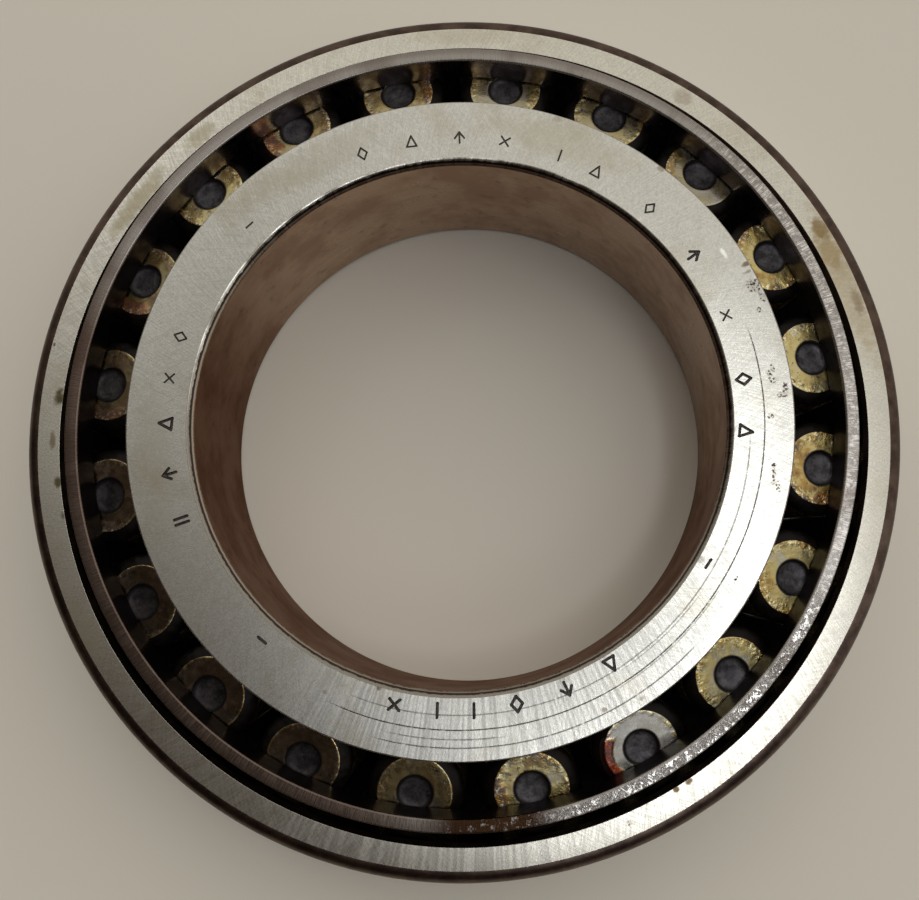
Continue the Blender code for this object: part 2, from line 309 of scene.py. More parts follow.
class Graph:
    """Node tree of a material or world, with short calls for the nodes that they share."""

    def __init__(self, owner):
        self.owner = owner
        owner.use_nodes = True
        self.tree = owner.node_tree
        self.shader = self.tree.nodes.get("Principled BSDF")
        self.coordinates = self.add("ShaderNodeTexCoord").outputs
        self.place = self.coordinates["Object"]

    def add(self, kind, **settings):
        """New node with these settings."""
        node = self.tree.nodes.new(kind)
        for key, value in settings.items():
            setattr(node, key, value)
        return node

    def put(self, socket, value):
        """Link an output to a socket, or set the socket to a constant."""
        if isinstance(value, bpy.types.NodeSocket):
            self.tree.links.new(value, socket)
        elif isinstance(value, tuple) and len(value) == 3 and len(socket.default_value) == 4:
            socket.default_value = (*value, 1.0)
        else:
            socket.default_value = value

    def math(self, operation, first, second=0.0, third=0.0):
        node = self.add("ShaderNodeMath", operation=operation)
        self.put(node.inputs[0], first)
        self.put(node.inputs[1], second)
        self.put(node.inputs[2], third)
        return node.outputs[0]

    def times(self, first, second):
        return self.math("MULTIPLY", first, second)

    def times_plus(self, first, second, third):
        return self.math("MULTIPLY_ADD", first, second, third)

    def attribute(self, name):
        """Value that the mesh stores at each of its points."""
        return self.add("ShaderNodeAttribute", attribute_name=name).outputs["Fac"]

    def vector(self, operation, first, second=(0.0, 0.0, 0.0)):
        node = self.add("ShaderNodeVectorMath", operation=operation)
        self.put(node.inputs[0], first)
        self.put(node.inputs[1], second)
        return node.outputs["Value" if operation in ("LENGTH", "DOT_PRODUCT") else "Vector"]

    def scaled(self, vector, factor):
        node = self.add("ShaderNodeVectorMath", operation="SCALE")
        self.put(node.inputs[0], vector)
        self.put(node.inputs["Scale"], factor)
        return node.outputs["Vector"]

    def noise(self, vector, scale, detail=2.0, roughness=0.5):
        node = self.add("ShaderNodeTexNoise")
        self.put(node.inputs["Vector"], vector)
        self.put(node.inputs["Scale"], scale)
        self.put(node.inputs["Detail"], detail)
        self.put(node.inputs["Roughness"], roughness)
        return node.outputs["Fac"]

    def spots(self, scale, detail=2.0, roughness=0.5):
        """Noise through the piece's own space, the same in all directions."""
        return self.noise(self.place, scale, detail, roughness)

    def ramp(self, value, low, high, to_low=0.0, to_high=1.0):
        """Smooth step from one value to another."""
        node = self.add("ShaderNodeMapRange", interpolation_type="SMOOTHSTEP")
        for index, entry in enumerate((value, low, high, to_low, to_high)):
            self.put(node.inputs[index], entry)
        return node.outputs[0]

    def mix(self, factor, first, second, blend="MIX"):
        node = self.add("ShaderNodeMix", data_type="RGBA", blend_type=blend)
        self.put(node.inputs[0], factor)
        self.put(node.inputs[MIX_FIRST], first)
        self.put(node.inputs[MIX_SECOND], second)
        return node.outputs[MIX_RESULT]

    def shaded(self, color, factor):
        """Color darkened or lightened by a grey value or another color."""
        return self.mix(1.0, color, factor, "MULTIPLY")

    def polar(self):
        """Direction from the axis as a unit vector, and distance from it in millimetres."""
        flat = self.vector("MULTIPLY", self.place, (1000.0, 1000.0, 0.0))
        return self.vector("NORMALIZE", flat), self.vector("LENGTH", flat)

    def streaks(self, direction, radius, around, along, twist, seed, detail=2.0):
        """Noise drawn out along the radius; twist leans the streaks over."""
        lean = self.add("ShaderNodeVectorRotate", rotation_type="Z_AXIS")
        self.put(lean.inputs["Vector"], direction)
        self.put(lean.inputs["Angle"], self.times(radius, twist))
        spread = self.scaled(lean.outputs[0], around)
        rise = self.add("ShaderNodeCombineXYZ")
        self.put(rise.inputs["Z"], self.times_plus(radius, along, seed))
        return self.noise(self.vector("ADD", spread, rise.outputs[0]), 1.0, detail)

    def rings(self, radius, height, direction, across, around, seed, detail=2.0):
        """Noise drawn out around the axis, as turning and rolling leave it."""
        spread = self.scaled(direction, around)
        rise = self.add("ShaderNodeCombineXYZ")
        along = self.math("ADD", radius, height)
        self.put(rise.inputs["Z"], self.times_plus(along, across, seed))
        return self.noise(self.vector("ADD", spread, rise.outputs[0]), 1.0, detail)

    def sector(self, direction, azimuth, half_width, fade):
        """Mask of a sector, all in degrees."""
        along = self.vector("DOT_PRODUCT", direction, tuple(compass(azimuth)[0]))
        away = self.math("ARCCOSINE", self.math("MINIMUM", along, 1.0))
        wide = math.radians(half_width)
        return self.ramp(away, wide + math.radians(fade), wide)

    def patch(self, azimuth, radius, long, tall, ragged, soft):
        """Mask of a ragged oval patch; millimetres, long around the ring and tall across it."""
        outward, clockwise = compass(azimuth)
        offset = self.vector("SUBTRACT", self.scaled(self.place, 1000.0), tuple(outward * radius))
        along = self.vector("DOT_PRODUCT", offset, tuple(clockwise / long))
        across = self.vector("DOT_PRODUCT", offset, tuple(outward / tall))
        away = self.math("ADD", self.times(along, along), self.times(across, across))
        away = self.times_plus(self.math("SUBTRACT", ragged, 0.5), 3.2, away)
        return self.ramp(away, 0.9 + soft, 0.9 - soft)

    def finish(self, color, roughness, height=None, relief=0.0, metallic=1.0, **fixed):
        """Connect the shader, with relief in millimetres and constant settings; return the material."""
        self.put(self.shader.inputs["Base Color"], color)
        self.put(self.shader.inputs["Roughness"], roughness)
        self.put(self.shader.inputs["Metallic"], metallic)
        if height is not None:
            bump = self.add("ShaderNodeBump")
            self.put(bump.inputs["Height"], height)
            self.put(bump.inputs["Distance"], relief * MM)
            self.put(self.shader.inputs["Normal"], bump.outputs["Normal"])
        for key, value in fixed.items():
            self.shader.inputs[key.replace("_", " ").title()].default_value = value
        return self.owner


def new_material(name):
    """Kit for a new material."""
    return Graph(bpy.data.materials.new(name))


def brushed(graph, amount):
    """Stretch reflections around the ring, across the radial lay of the grinding."""
    tangent = graph.add("ShaderNodeTangent", direction_type="RADIAL", axis="Z")
    graph.put(graph.shader.inputs["Tangent"], tangent.outputs[0])
    graph.shader.inputs["Anisotropic"].default_value = amount


# ---------------------------------------------------------------- materials

def ground_face(name, color, highlight_streak_sector, stains, pits, scribes):
    """Face-ground steel: fine crossing radial streaks, stains, pits and scribed wear lines, and broad
    grinding streaks painted with strong light and dark contrast in one sector as a painted highlight.
    """
    graph = new_material(name)
    direction, radius = graph.polar()
    fine = graph.streaks(direction, radius, 230.0, 0.55, 0.010, 3.0)
    crossed = graph.streaks(direction, radius, 150.0, 0.4, -0.022, 11.0)
    broad = graph.streaks(direction, radius, 105.0, 0.06, 0.001, 23.0, 3.0)
    cloud = graph.spots(140.0, 4.0, 0.6)
    grain = graph.spots(4200.0, 3.0, 0.6)
    ragged = graph.spots(900.0, 4.0, 0.65)
    # Painted highlight: in this sector the broad grinding streaks are painted lighter and darker, as the
    # lamps' highlight shows them.
    highlight_streaks = graph.sector(direction, *highlight_streak_sector)
    lay = graph.math("ADD", graph.times(fine, 0.6), graph.times(crossed, 0.4))
    shade = graph.ramp(lay, 0.3, 0.7, 0.90, 1.06)
    strong = graph.ramp(broad, 0.36, 0.64, 0.76, 1.12)
    shade = graph.times(shade, graph.ramp(highlight_streaks, 0.0, 1.0, 1.0, strong))
    shade = graph.times(shade, graph.ramp(grain, 0.25, 0.75, 0.88, 1.10))
    tint = graph.shaded(color, shade)
    tint = graph.mix(graph.ramp(cloud, 0.5, 0.72, 0.0, 0.30), tint, (0.33, 0.28, 0.17))
    rough = graph.ramp(lay, 0.25, 0.75, 0.33, 0.22)
    height = graph.times_plus(grain, 0.5, lay)
    for azimuth, place, long, tall, strength, stain in stains:
        mask = graph.times(graph.patch(azimuth, place, long, tall, ragged, 0.8), strength)
        tint = graph.mix(mask, tint, stain)
        rough = graph.times_plus(mask, 0.15, rough)
    specks = graph.ramp(graph.spots(3900.0, 1.0), 0.53, 0.59)
    for azimuth, place, long, tall in pits:
        halo = graph.patch(azimuth, place, long, tall, ragged, 0.6)
        tint = graph.mix(graph.times(halo, 0.22), tint, (0.16, 0.10, 0.06))
        mask = graph.times(halo, specks)
        tint = graph.mix(mask, tint, (0.045, 0.038, 0.036))
        height = graph.times_plus(mask, -3.0, height)
    for place, middle, half, strength in scribes:
        wobble = graph.math("SUBTRACT", graph.noise(direction, 1.7, 2.0), 0.5)
        here = graph.times_plus(wobble, 0.12, radius)
        away = graph.math("ABSOLUTE", graph.math("SUBTRACT", here, place))
        faint = graph.noise(graph.scaled(direction, 7.0 + place), 1.0, 3.0)
        faint = graph.ramp(faint, 0.32, 0.5, 0.35, 1.0)
        line = graph.times(graph.ramp(away, 0.085, 0.03), faint)
        line = graph.times(line, graph.sector(direction, middle, half, 5.0))
        line = graph.times(line, strength)
        tint = graph.mix(line, tint, (0.05, 0.045, 0.045))
        height = graph.times_plus(line, -3.0, height)
    brushed(graph, 0.7)
    return graph.finish(tint, rough, height, 0.0035)


def dark_scale(name):
    """Black heat-treatment skin on unground corners, painted lighter and bluer in one sector on the
    lower right and darker elsewhere, as painted light and shade.
    """
    graph = new_material(name)
    direction = graph.polar()[0]
    cloud = graph.spots(420.0, 4.0, 0.65)
    grain = graph.spots(3600.0, 3.0, 0.6)
    tint = graph.mix(graph.ramp(cloud, 0.35, 0.7), (0.070, 0.046, 0.036), (0.140, 0.095, 0.070))
    # Painted light and shade: lighter in the sector where the lamps fall, darker all round the rest.
    painted_light_side = graph.sector(direction, 140.0, 15.0, 40.0)
    tint = graph.shaded(tint, graph.mix(painted_light_side, (0.74, 0.74, 0.76), (1.20, 1.28, 1.45)))
    tint = graph.mix(graph.ramp(grain, 0.66, 0.80, 0.0, 0.4), tint, (0.36, 0.30, 0.25))
    rough = graph.ramp(grain, 0.3, 0.7, 0.30, 0.44)
    return graph.finish(tint, rough, grain, 0.012)


def turned_steel(name, color, stain, roughness, oil=0.0, painted_shade_sector=None):
    """Steel turned around the axis: fine rings, faint stains, wet patches, and an optional sector with
    painted shade that is also rougher.
    """
    graph = new_material(name)
    direction, radius = graph.polar()
    height = graph.add("ShaderNodeSeparateXYZ")
    graph.put(height.inputs[0], graph.scaled(graph.place, 1000.0))
    lines = graph.rings(radius, height.outputs["Z"], direction, 9.0, 2.0, 5.0, 3.0)
    cloud = graph.spots(160.0, 4.0, 0.6)
    patch = graph.spots(620.0, 3.0, 0.6)
    tint = graph.shaded(color, graph.ramp(lines, 0.3, 0.7, 0.85, 1.1))
    tint = graph.mix(graph.ramp(cloud, 0.42, 0.66, 0.0, 0.75), tint, stain)
    tint = graph.mix(graph.ramp(patch, 0.6, 0.72, 0.0, 0.35), tint, (0.07, 0.045, 0.03))
    rough = graph.ramp(cloud, 0.3, 0.7, roughness * 0.75, roughness * 1.3)
    # Painted shade: the optional sector is painted darker and browner, and made rougher.
    if painted_shade_sector:
        sector = graph.sector(direction, *painted_shade_sector)
        tint = graph.mix(sector, tint, graph.shaded(tint, (0.34, 0.215, 0.150)))
        rough = graph.times_plus(sector, 0.35, rough)
    bumped = graph.times_plus(patch, 1.5, lines)
    return graph.finish(tint, rough, bumped, 0.004, coat_weight=oil, coat_roughness=0.12)


def worn_corner(name):
    """Broken corner at the bore: painted highlight lines at both edges, the outer one brightest in one
    sector, with a dark band between them.
    """
    graph = new_material(name)
    direction, radius = graph.polar()
    ragged = graph.streaks(direction, radius, 60.0, 0.4, 0.0, 17.0, 4.0)
    lip = graph.times_plus(graph.math("SUBTRACT", ragged, 0.5), 0.30, radius)
    patchy = graph.streaks(direction, radius, 9.0, 0.2, 0.0, 29.0, 3.0)
    # Painted highlight: a bright, patchy line along the face edge in this sector.
    painted_glint_sector = graph.sector(direction, 335.0, 42.0, 25.0)
    painted_glint_sector = graph.times(graph.ramp(patchy, 0.38, 0.58), painted_glint_sector)
    bright = graph.mix(painted_glint_sector, (0.26, 0.235, 0.20), (0.80, 0.78, 0.72))
    # Painted highlights: a light line next to the bore and a bright line at the face edge, with a dark
    # band between them.
    tint = graph.mix(graph.ramp(lip, 28.64, 28.70), (0.22, 0.15, 0.10), (0.34, 0.29, 0.24))
    tint = graph.mix(graph.ramp(radius, 28.78, 28.84), tint, (0.045, 0.034, 0.030))
    tint = graph.mix(graph.ramp(lip, 28.98, 29.04), tint, bright)
    rough = graph.ramp(ragged, 0.3, 0.7, 0.22, 0.38)
    return graph.finish(tint, rough, ragged, 0.03)


def sheared_edge(name):
    """Cut edge of the pressed sheet: short marks across it, torn rough on its outer half. Nicks and
    ridges are painted bright in two sectors on the right as painted light; painted shade darkens the
    outer half and a sector on the lower left.
    """
    graph = new_material(name)
    direction, radius = graph.polar()
    ticks = graph.streaks(direction, radius, 620.0, 0.7, 0.0, 31.0, 2.0)
    cloud = graph.streaks(direction, radius, 7.0, 0.1, 0.0, 41.0, 3.0)
    leaning = graph.streaks(direction, radius, 330.0, 1.1, 0.026, 51.0, 3.0)
    opposed = graph.streaks(direction, radius, 400.0, 1.3, -0.018, 61.0, 3.0)
    speck = graph.spots(4200.0, 2.0)
    chips = graph.spots(1900.0, 3.0, 0.6)
    fringe = graph.ramp(radius, 41.85, 42.15)
    # Painted light: the pecked and torn marks are real, but they are painted bright only in these two
    # lit sectors on the right.
    pecked_with_painted_light = graph.times(fringe, graph.sector(direction, 92.0, 36.0, 24.0))
    torn_with_painted_light = graph.times(fringe, graph.sector(direction, 143.0, 20.0, 12.0))
    bright = graph.shaded((0.30, 0.276, 0.256), graph.ramp(ticks, 0.3, 0.7, 0.88, 1.1))
    # Painted shade: the outer half of the edge is painted darker.
    painted_shade_outside = graph.ramp(radius, 42.2, 42.9, 0.0, 0.45)
    tint = graph.mix(painted_shade_outside, bright, (0.135, 0.108, 0.092))
    nicks = graph.times(graph.ramp(ticks, 0.42, 0.60), graph.ramp(chips, 0.38, 0.60))
    tint = graph.mix(pecked_with_painted_light, tint, graph.mix(nicks, (0.27, 0.25, 0.235), (0.72, 0.69, 0.66)))
    crests = graph.math("MAXIMUM", leaning, opposed)
    crests = graph.times_plus(graph.math("SUBTRACT", chips, 0.5), 1.1, crests)
    ridges = graph.ramp(crests, 0.44, 0.68)
    tint = graph.mix(torn_with_painted_light, tint, graph.mix(ridges, (0.21, 0.19, 0.18), (0.74, 0.72, 0.70)))
    tint = graph.mix(graph.ramp(cloud, 0.50, 0.66, 0.0, 0.35), tint, (0.11, 0.075, 0.06))
    # Painted shade: a sector on the lower left is painted darker.
    painted_darkening = graph.shaded(tint, (0.50, 0.40, 0.36))
    tint = graph.mix(graph.sector(direction, 238.0, 42.0, 22.0), tint, painted_darkening)
    rust = graph.times(graph.sector(direction, 175.0, 5.0, 7.0), graph.ramp(chips, 0.30, 0.46))
    tint = graph.mix(rust, tint, (0.040, 0.020, 0.010))
    tint = graph.mix(graph.ramp(speck, 0.64, 0.76, 0.0, 0.4), tint, (0.05, 0.035, 0.03))
    rough = graph.ramp(ticks, 0.3, 0.7, 0.22, 0.36)
    height = graph.times_plus(graph.times(ridges, torn_with_painted_light), 2.5, graph.times(ticks, 0.5))
    height = graph.times_plus(speck, 0.3, height)
    return graph.finish(tint, rough, height, 0.014)


def oily_sheet(name):
    """Dark pressed steel under a film of old oil, painted much lighter in one sector at the top as
    painted light and reflection.
    """
    graph = new_material(name)
    direction = graph.polar()[0]
    cloud = graph.spots(380.0, 4.0, 0.6)
    grain = graph.spots(2600.0, 3.0, 0.55)
    # Painted light: the top sector is painted much lighter and made smoother, standing in for
    # reflections there.
    painted_light_top = graph.sector(direction, 8.0, 38.0, 40.0)
    clouded = graph.ramp(cloud, 0.35, 0.68)
    oiled = graph.mix(clouded, (0.034, 0.025, 0.024), (0.014, 0.009, 0.008))
    painted_light_tint = graph.mix(clouded, (0.34, 0.30, 0.315), (0.13, 0.10, 0.095))
    tint = graph.mix(painted_light_top, oiled, painted_light_tint)
    rough = graph.ramp(cloud, 0.35, 0.65, 0.17, 0.32)
    rough = graph.math("ADD", rough, graph.ramp(painted_light_top, 0.0, 1.0, 0.24, 0.0))
    height = graph.times_plus(grain, 0.4, cloud)
    return graph.finish(tint, rough, height, 0.012, coat_weight=0.2, coat_roughness=0.15)


def pocket_painted_shade(name):
    """Near-black painted shade on the walls of the pockets."""
    graph = new_material(name)
    grain = graph.spots(2600.0, 3.0, 0.6)
    # Painted shade: the pocket walls are painted near-black, as the gaps between rollers are dark.
    tint = graph.mix(graph.ramp(grain, 0.3, 0.7), (0.004, 0.003, 0.003), (0.016, 0.011, 0.009))
    rough = graph.ramp(grain, 0.3, 0.7, 0.45, 0.65)
    return graph.finish(tint, rough, grain, 0.015, metallic=0.4)


def stamped_metal(name):
    """Walls of stamped marks, dark with settled oil."""
    graph = new_material(name)
    grain = graph.spots(5000.0, 2.0)
    tint = graph.mix(graph.ramp(grain, 0.3, 0.7), (0.035, 0.03, 0.03), (0.11, 0.095, 0.085))
    return graph.finish(tint, 0.5, grain, 0.01, metallic=0.8)


def roller_steel(name):
    """Ground roller under oil; the mesh holds the film, its redness, its share of painted shade and the
    radius.
    """
    graph = new_material(name)
    film = graph.attribute("film")
    redness = graph.attribute("redness")
    reach = graph.attribute("reach")
    painted_shade = graph.attribute("painted_shade")
    ripple = graph.spots(1100.0, 4.0, 0.6)
    glitter = graph.spots(2900.0, 2.0, 0.6)
    cloud = graph.spots(430.0, 3.0, 0.55)
    grain = graph.spots(6500.0, 2.0)
    bare = graph.mix(graph.ramp(cloud, 0.35, 0.65), (0.50, 0.485, 0.44), (0.42, 0.39, 0.32))
    bare = graph.shaded(bare, graph.ramp(grain, 0.25, 0.75, 0.86, 1.08))
    depth = graph.times(film, graph.ramp(ripple, 0.28, 0.68, 0.70, 1.25))
    tint = graph.mix(graph.ramp(depth, 0.08, 0.36), bare, (0.56, 0.46, 0.19))
    tint = graph.mix(graph.ramp(depth, 0.36, 0.66), tint, (0.40, 0.24, 0.055))
    tint = graph.mix(graph.ramp(depth, 0.66, 0.98), tint, (0.150, 0.098, 0.058))
    # Painted glints: pale yellow spots near the rim of the end, on oiled rollers, stand in for sparkling
    # highlights.
    edge = graph.times(graph.ramp(reach, 2.9, 3.7), graph.ramp(glitter, 0.53, 0.62, 0.0, 0.9))
    tint = graph.mix(graph.times(edge, graph.ramp(film, 0.1, 0.3)), tint, (0.95, 0.88, 0.58))
    # Painted shade: rollers on the darker side are painted darker and browner over their end's flat,
    # less towards its rim.
    painted_darkening = graph.times(painted_shade, graph.ramp(reach, 4.0, 3.75, 0.35, 1.0))
    painted_shade_color = graph.mix(graph.ramp(cloud, 0.4, 0.6), (0.125, 0.086, 0.064), (0.062, 0.044, 0.036))
    tint = graph.mix(painted_darkening, tint, painted_shade_color)
    fleck = graph.ramp(graph.spots(1500.0, 3.0, 0.7), 0.60, 0.68)
    fleck = graph.times(fleck, graph.ramp(film, 0.1, 0.3))
    tint = graph.mix(graph.times(fleck, 0.75), tint, (0.050, 0.030, 0.018))
    grease = graph.mix(graph.ramp(ripple, 0.4, 0.6), (0.40, 0.062, 0.012), (0.15, 0.018, 0.005))
    tint = graph.mix(redness, tint, grease)
    # Painted shade: a dark ring where the end face meets the dimple's edge.
    outline = graph.math("ABSOLUTE", graph.math("SUBTRACT", reach, 1.97))
    outline = graph.ramp(outline, 0.14, 0.04, 0.0, 0.9)
    tint = graph.mix(outline, tint, (0.025, 0.02, 0.02))
    rough = graph.ramp(ripple, 0.3, 0.7, 0.22, 0.38)
    wet = graph.times_plus(graph.math("MAXIMUM", depth, redness), 2.0, 0.12)
    wet = graph.times(wet, graph.ramp(painted_shade, 0.05, 0.5, 1.0, 0.30))
    wet = graph.times(wet, graph.ramp(reach, 2.5, 3.5, 0.40, 1.05))
    height = graph.times(graph.times_plus(glitter, 0.45, ripple), wet)
    metal = graph.ramp(graph.math("MAXIMUM", depth, redness), 0.5, 1.0, 1.0, 0.5)
    return graph.finish(
        tint, rough, height, 0.065, metallic=metal, coat_weight=0.8, coat_roughness=0.08)


def roller_corner(name):
    """Near-black painted shade round the corner of a roller's large end, dark red where the grease is.
    """
    graph = new_material(name)
    redness = graph.attribute("redness")
    cloud = graph.spots(900.0, 3.0, 0.6)
    grain = graph.spots(4200.0, 3.0, 0.6)
    # Painted shade: near-black, as the corner lies in shade.
    tint = graph.mix(graph.ramp(cloud, 0.35, 0.68), (0.004, 0.003, 0.003), (0.012, 0.008, 0.006))
    tint = graph.mix(redness, tint, (0.016, 0.003, 0.002))
    rough = graph.ramp(cloud, 0.3, 0.7, 0.38, 0.55)
    return graph.finish(tint, rough, grain, 0.02, metallic=0.7)


def dimple_metal(name):
    """Forged floor of a dimple: dark, matt and slightly blue."""
    graph = new_material(name)
    cloud = graph.spots(700.0, 4.0, 0.65)
    grain = graph.spots(3800.0, 3.0, 0.6)
    reach = graph.attribute("reach")
    tint = graph.mix(graph.ramp(cloud, 0.3, 0.7), (0.048, 0.045, 0.052), (0.190, 0.181, 0.195))
    tint = graph.shaded(tint, graph.ramp(grain, 0.3, 0.7, 0.75, 1.2))
    # Painted shade: the same per-roller share darkens the dimple.
    painted_shade = graph.attribute("painted_shade")
    tint = graph.mix(painted_shade, tint, graph.shaded(tint, (0.33, 0.27, 0.27)))
    # Painted shade: the dimple's wall is painted darker towards its edge.
    tint = graph.mix(graph.ramp(reach, 1.45, 1.85), tint, (0.026, 0.022, 0.024))
    rough = graph.ramp(grain, 0.3, 0.7, 0.40, 0.60)
    return graph.finish(tint, rough, grain, 0.03, metallic=0.75)


def plain_floor():
    """Pale, matt and warm."""
    graph = new_material("floor_paint")
    cloud = graph.spots(6.0, 3.0)
    tint = graph.mix(cloud, (0.86, 0.80, 0.70), (0.88, 0.83, 0.74))
    return graph.finish(tint, 0.6, metallic=0.0)


# ---------------------------------------------------------------- rings

def make_cup():
    """Outer ring with its ground faces, dark corners and raceway."""
    face, scale, race, side = range(4)
    # Stains: azimuth, radius, length and height in millimetres, strength, color
    brown = (0.17, 0.10, 0.035)
    olive = (0.10, 0.08, 0.03)
    yellow = (0.36, 0.30, 0.14)
    stains = [
        (60.6, 46.9, 1.4, 0.8, 0.75, brown), (63.5, 46.4, 3.0, 1.2, 0.6, (0.32, 0.22, 0.09)),
        (69.0, 46.4, 9.0, 1.8, 0.5, (0.37, 0.28, 0.14)),
        (72.0, 47.0, 1.6, 0.6, 0.45, brown), (33.0, 46.6, 1.0, 1.0, 0.35, brown),
        (274.4, 45.7, 1.0, 0.55, 0.95, olive), (262.3, 45.6, 0.6, 0.4, 0.9, olive),
        (268.3, 46.1, 0.9, 0.35, 0.7, brown), (257.5, 45.5, 0.5, 0.25, 0.8, olive),
        (305.0, 46.2, 5.0, 1.0, 0.5, yellow), (318.0, 46.3, 2.2, 0.9, 0.4, yellow),
        (241.0, 46.8, 4.0, 1.0, 0.3, yellow), (0.0, 46.8, 6.0, 1.0, 0.25, yellow),
        (147.4, 45.55, 0.45, 0.3, 0.9, brown), (149.4, 45.5, 0.35, 0.3, 0.9, brown),
        (281.7, 47.5, 0.22, 0.12, 0.9, olive)]
    materials = [
        ground_face(
            "cup_face_steel", (0.60, 0.575, 0.51), (184.0, 10.0, 20.0), stains,
            pits=[(157.0, 46.4, 0.3, 0.3)], scribes=[]),
        dark_scale("cup_scale"),
        turned_steel("cup_raceway_steel", (0.40, 0.37, 0.33), (0.20, 0.15, 0.10), 0.16, 0.5),
        turned_steel("cup_side_steel", (0.44, 0.42, 0.385), (0.33, 0.295, 0.25), 0.30),
    ]
    back_land = on_cone(CUP_ANGLE, LAND, RUNNING_GAP)
    front_land = on_cone(CUP_ANGLE, CUP_FACE - LAND, RUNNING_GAP)
    corners = [
        (OUTSIDE_RADIUS, CUP_FACE, CUP_FRONT_CORNER, scale, side),
        (OUTSIDE_RADIUS, 0.0, CUP_BACK_CORNER, scale, face),
        (back_land + LAND, 0.0, FINE_EDGE, face, scale),
        (back_land, LAND, FINE_EDGE, race, race),
        (front_land, CUP_FACE - LAND, BROKEN_EDGE, race, scale),
        (front_land + LAND, CUP_FACE, 0.07 * MM, face, face),
    ]
    ring = turned("outer_ring", corners, RING_SIDES, materials)
    weight_normals(ring)
    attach(ring, "cup")
    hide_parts("cup")


def cone_corners(face, side, race, bore, lip):
    """Outline of the inner ring."""
    under = -RUNNING_GAP - UNDERCUT
    rib_under = on_end_plane(LARGE_END, RIB_RADIUS, RUNNING_GAP)
    rib_root = where_cone_meets_end(CONE_ANGLE, under, LARGE_END, RUNNING_GAP)
    groove = rib_root[1] - GROOVE
    race_top = groove - UNDERCUT
    small_top = on_end_plane(SMALL_END, SMALL_RIB_RADIUS, -SMALL_RIB_PLAY)
    small_root = where_cone_meets_end(CONE_ANGLE, under, SMALL_END, -SMALL_RIB_PLAY)
    low_groove = small_root[1] + GROOVE
    race_foot = low_groove + UNDERCUT
    return [
        (RIB_RADIUS, CONE_FACE, BROKEN_EDGE, side, side),
        (RIB_RADIUS, rib_under, ROOT_EDGE, side, race),
        (*rib_root, BROKEN_EDGE, side, side),
        (on_cone(CONE_ANGLE, groove, under), groove, ROOT_EDGE, side, side),
        (on_cone(CONE_ANGLE, race_top, -RUNNING_GAP), race_top, FINE_EDGE, race, race),
        (on_cone(CONE_ANGLE, race_foot, -RUNNING_GAP), race_foot, FINE_EDGE, race, side),
        (on_cone(CONE_ANGLE, low_groove, under), low_groove, ROOT_EDGE, side, side),
        (*small_root, BROKEN_EDGE, side, side),
        (SMALL_RIB_RADIUS, small_top, BROKEN_EDGE, side, side),
        (SMALL_RIB_RADIUS, CONE_FOOT, 0.6 * MM, side, face),
        (BORE_RADIUS + BORE_CHAMFER, CONE_FOOT, FINE_EDGE, face, side),
        (BORE_RADIUS, CONE_FOOT + BORE_CHAMFER, 0.1 * MM, side, bore),
        (BORE_RADIUS, CONE_FACE - BORE_CHAMFER, ROOT_EDGE, lip, lip),
        (BORE_RADIUS + BORE_CHAMFER, CONE_FACE, 0.35 * MM, lip, face),
    ]


# A stamped mark is a row of strokes (x, y, x, y) in a square from -1 to 1; x runs clockwise
GLYPHS = {
    "dash": [(-0.6, 0.0, 0.6, 0.0)],
    "diamond": [
        (0.0, 0.95, 0.7, 0.0), (0.7, 0.0, 0.0, -0.95),
        (0.0, -0.95, -0.7, 0.0), (-0.7, 0.0, 0.0, 0.95)],
    "triangle": [(-0.75, -0.8, 0.75, -0.8), (0.75, -0.8, 0.0, 0.85), (0.0, 0.85, -0.75, -0.8)],
    "arrow": [(-0.7, -0.1, 0.0, 0.85), (0.0, 0.85, 0.7, -0.1), (0.0, 0.85, 0.0, -0.85)],
    "tally": [(0.0, -0.85, 0.0, 0.85)],
    "tallies": [(-0.35, -0.85, -0.35, 0.85), (0.35, -0.85, 0.35, 0.85)],
    "cross": [(-0.65, -0.65, 0.65, 0.65), (-0.65, 0.65, 0.65, -0.65)],
}
# Size, half width and depth of a deep and of a light mark
DEEP = (0.84 * MM, 0.17 * MM, 0.14 * MM)
LIGHT = (0.74 * MM, 0.11 * MM, 0.07 * MM)
# Section of a stroke: height in depths, width in half widths
STROKE_LEVELS = ((2.0, 1.7), (0.0, 1.0), (-1.0, 0.45))
MARK_SEED = 7
MARK_ASKEW = 6.0
# Stamped marks: degrees clockwise from +Y, radius in millimetres, glyph, weight
MARKS = [
    (339.7, 31.7, "diamond", LIGHT), (349.8, 31.65, "triangle", LIGHT), (359.5, 31.6, "arrow", LIGHT),
    (8.7, 31.5, "cross", LIGHT), (20.2, 31.4, "tally", LIGHT), (28.3, 31.4, "triangle", LIGHT),
    (41.5, 31.2, "diamond", LIGHT), (54.6, 31.1, "arrow", DEEP), (68.5, 30.85, "cross", LIGHT),
    (82.0, 30.7, "diamond", DEEP), (92.6, 30.55, "triangle", DEEP), (120.5, 30.4, "dash", DEEP),
    (148.3, 30.35, "triangle", DEEP), (158.2, 30.5, "arrow", DEEP), (168.3, 30.5, "diamond", DEEP),
    (176.7, 30.6, "tally", DEEP), (183.8, 30.6, "tally", DEEP), (192.2, 30.65, "cross", DEEP),
    (221.0, 31.05, "dash", DEEP), (249.5, 31.3, "tallies", DEEP), (259.0, 31.4, "arrow", DEEP),
    (269.0, 31.5, "triangle", DEEP), (278.0, 31.6, "cross", LIGHT), (286.5, 31.6, "diamond", LIGHT),
    (312.8, 31.7, "dash", LIGHT),
]


